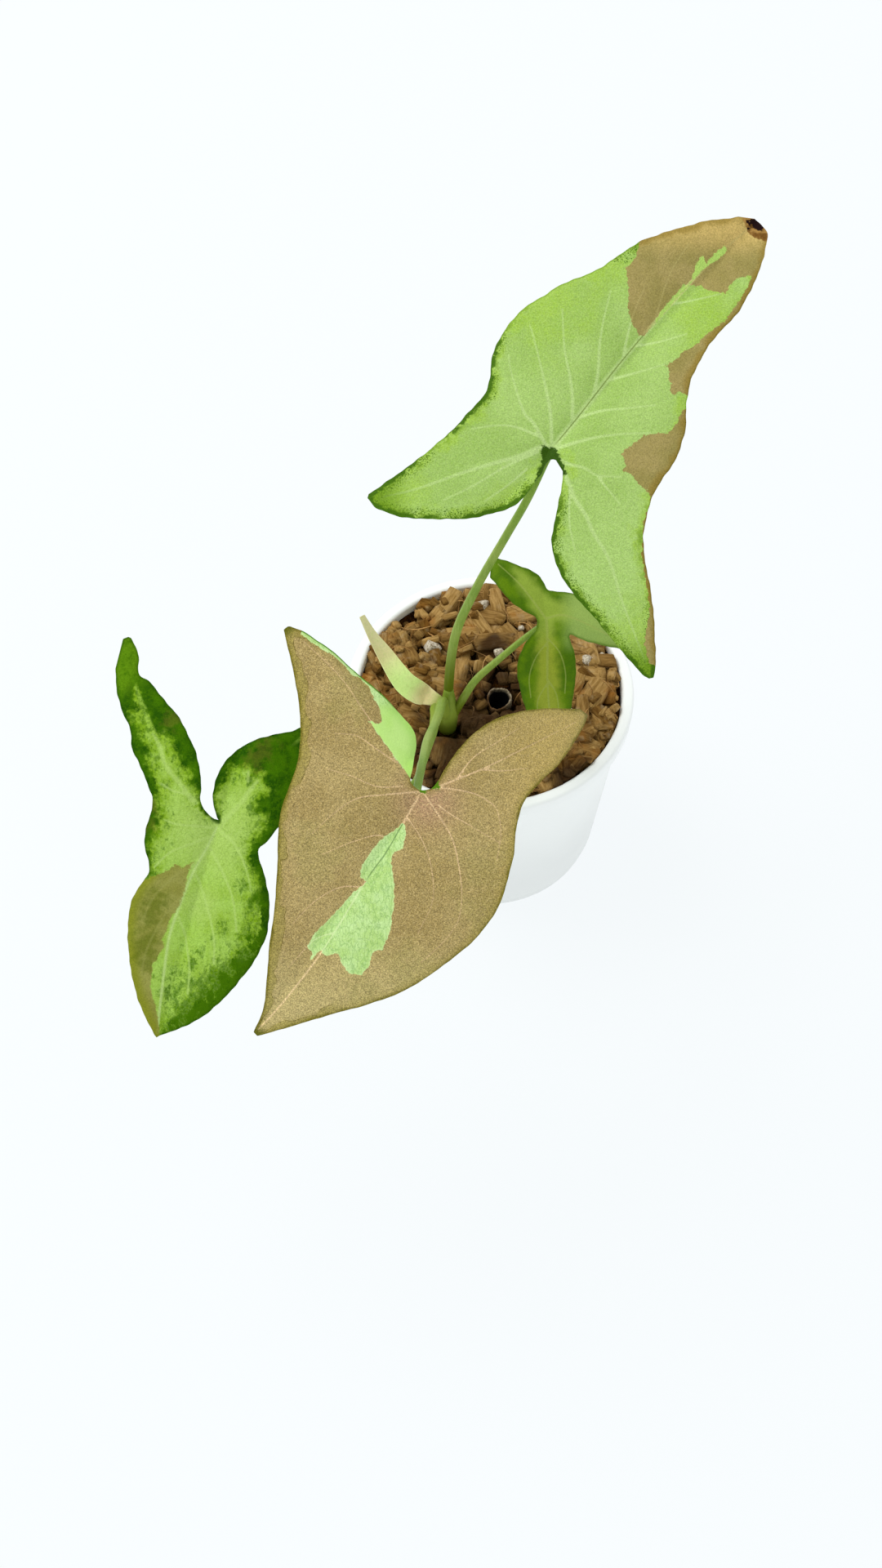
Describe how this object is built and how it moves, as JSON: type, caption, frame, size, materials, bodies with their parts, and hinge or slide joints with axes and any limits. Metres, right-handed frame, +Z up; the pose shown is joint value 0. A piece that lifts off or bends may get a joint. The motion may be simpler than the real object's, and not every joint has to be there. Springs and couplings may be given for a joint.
{
  "type": "potted arrowhead plant",
  "caption": "Arrowhead plant with large arrow-shaped leaves on slender stalks, standing in coarse potting mix in a round tapered white pot.",
  "frame": {"origin": "centre of the pot's foot, on the surface it stands on", "axes": "+Z up, -Y towards the front, where the two large leaves hang out; +X to the right as seen from the front"},
  "size_m": [0.1326, 0.146, 0.1831],
  "materials": {
    "pot_plastic": "white moulded plastic with a soft gloss",
    "potting_mix": "coarse brown coir and bark chips, dull and damp",
    "stalk": "smooth green plant skin",
    "leaf_tall": "light green blade with tan patches and pale veins",
    "leaf_front": "tan grained blade with a mint-green patch and pinkish veins",
    "leaf_left": "deep green margins round a pale green middle",
    "leaf_back": "green blade with a paler middle band",
    "leaf_young": "cream and light green half-rolled young leaf"
  },
  "bodies": {
    "root": {"pot": "pot_plastic", "potting_mix": "potting_mix", "crown": "stalk", "stalk_tall": "stalk", "stalk_front": "stalk", "stalk_left": "stalk", "stalk_back": "stalk", "leaf_tall": "leaf_tall", "leaf_front": "leaf_front", "leaf_left": "leaf_left", "leaf_back": "leaf_back", "leaf_young": "leaf_young"}
  },
  "joints": []
}
